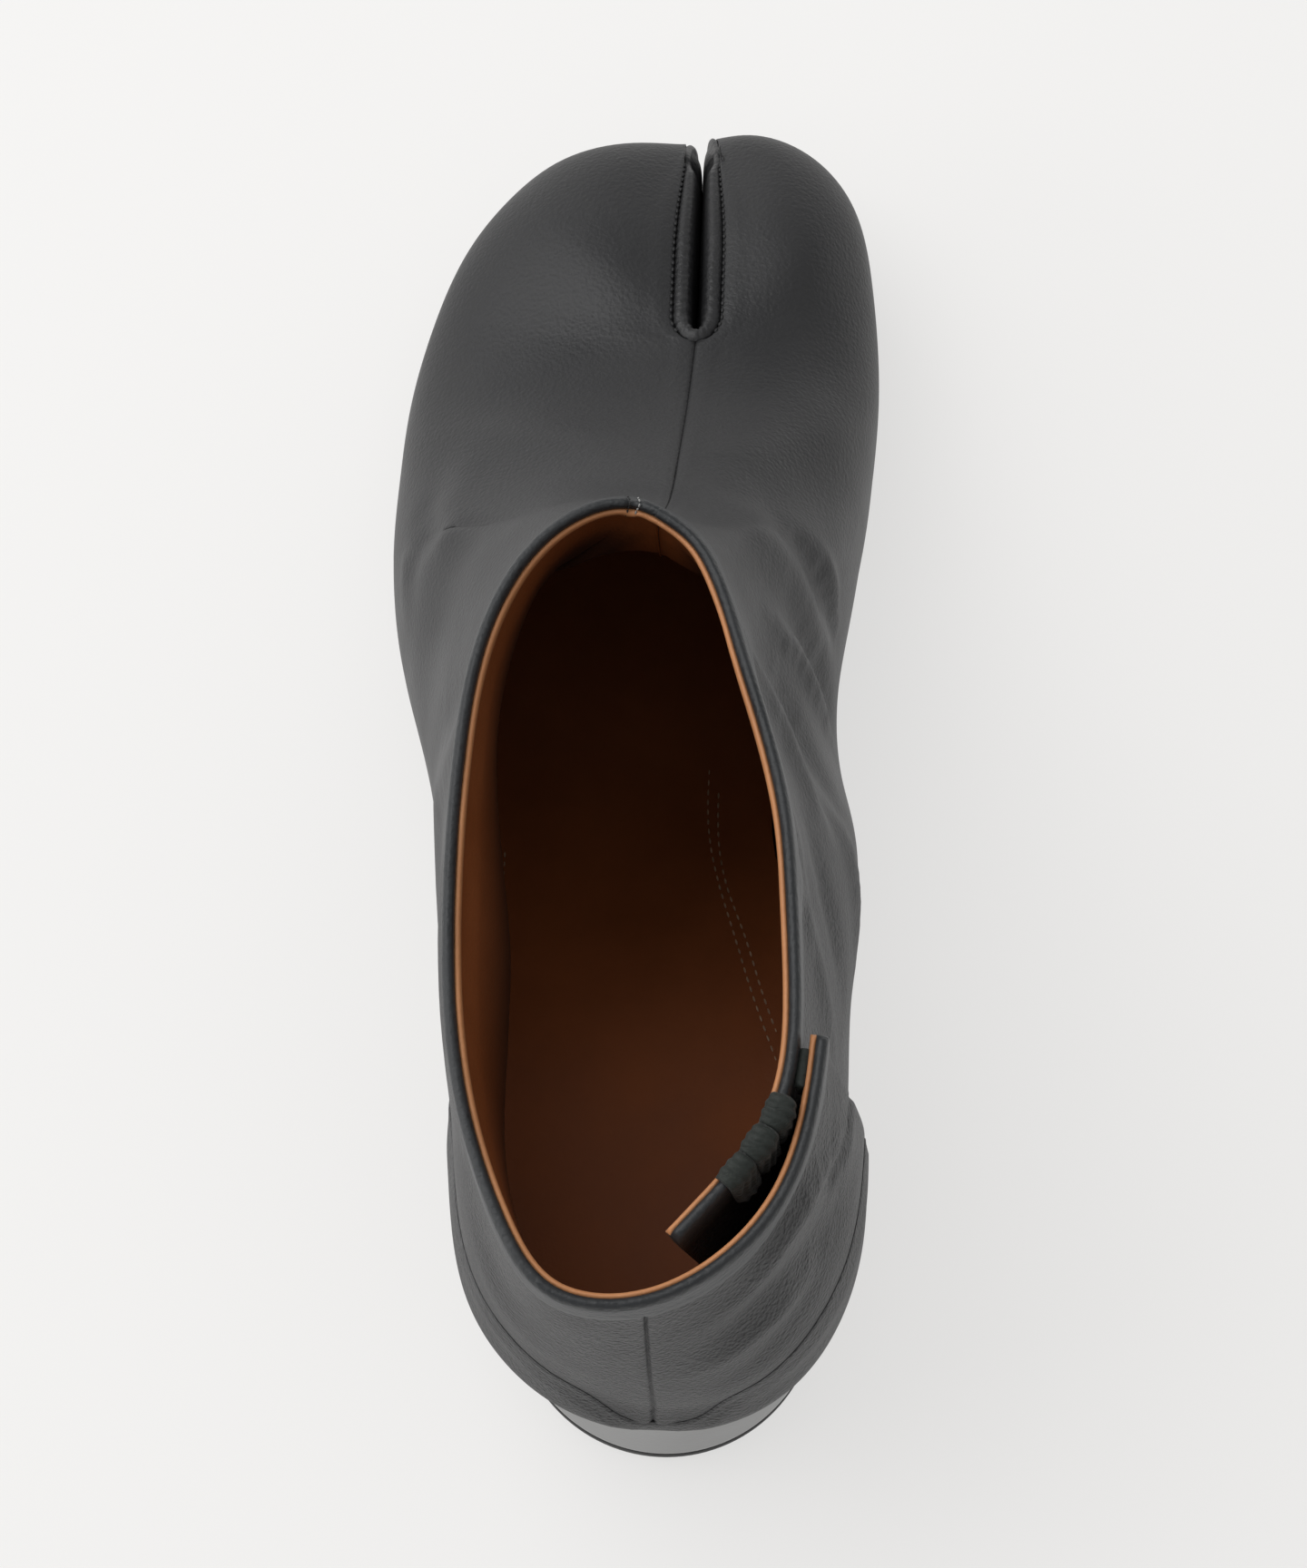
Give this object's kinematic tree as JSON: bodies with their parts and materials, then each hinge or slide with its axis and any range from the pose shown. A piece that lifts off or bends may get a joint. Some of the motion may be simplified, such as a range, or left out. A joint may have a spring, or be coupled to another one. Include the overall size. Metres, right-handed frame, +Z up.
{
  "type": "split-toe ankle boot",
  "caption": "Left leather ankle boot with a split toe, low round heel, rolled collar, rear flap closure on the inner side and a brown insole",
  "frame": {"origin": "centre of the heel's flat underside, on the floor", "axes": "+Y to the toes, +X to the inner side of the foot, +Z up"},
  "size_m": [0.0929, 0.2587, 0.132],
  "materials": {
    "upper": "charcoal smooth leather, soft sheen",
    "toe_gusset": "charcoal leather, finely wrinkled",
    "counter_band": "charcoal smooth leather, soft sheen",
    "collar_binding": "blue-grey rolled edge, matte",
    "loop_band": "dark green-grey folded tape, matte",
    "outsole": "dark brown leather sole, satin",
    "insole": "brown leather, satin",
    "heel_block": "covered heel, polished",
    "heel_top_piece": "black rubber, matte"
  },
  "bodies": {
    "root": {"upper": "upper", "toe_gusset": "toe_gusset", "counter_band": "counter_band", "collar_binding": "collar_binding", "loop_band": "loop_band", "outsole": "outsole", "insole": "insole", "heel_block": "heel_block", "heel_top_piece": "heel_top_piece"}
  },
  "joints": []
}
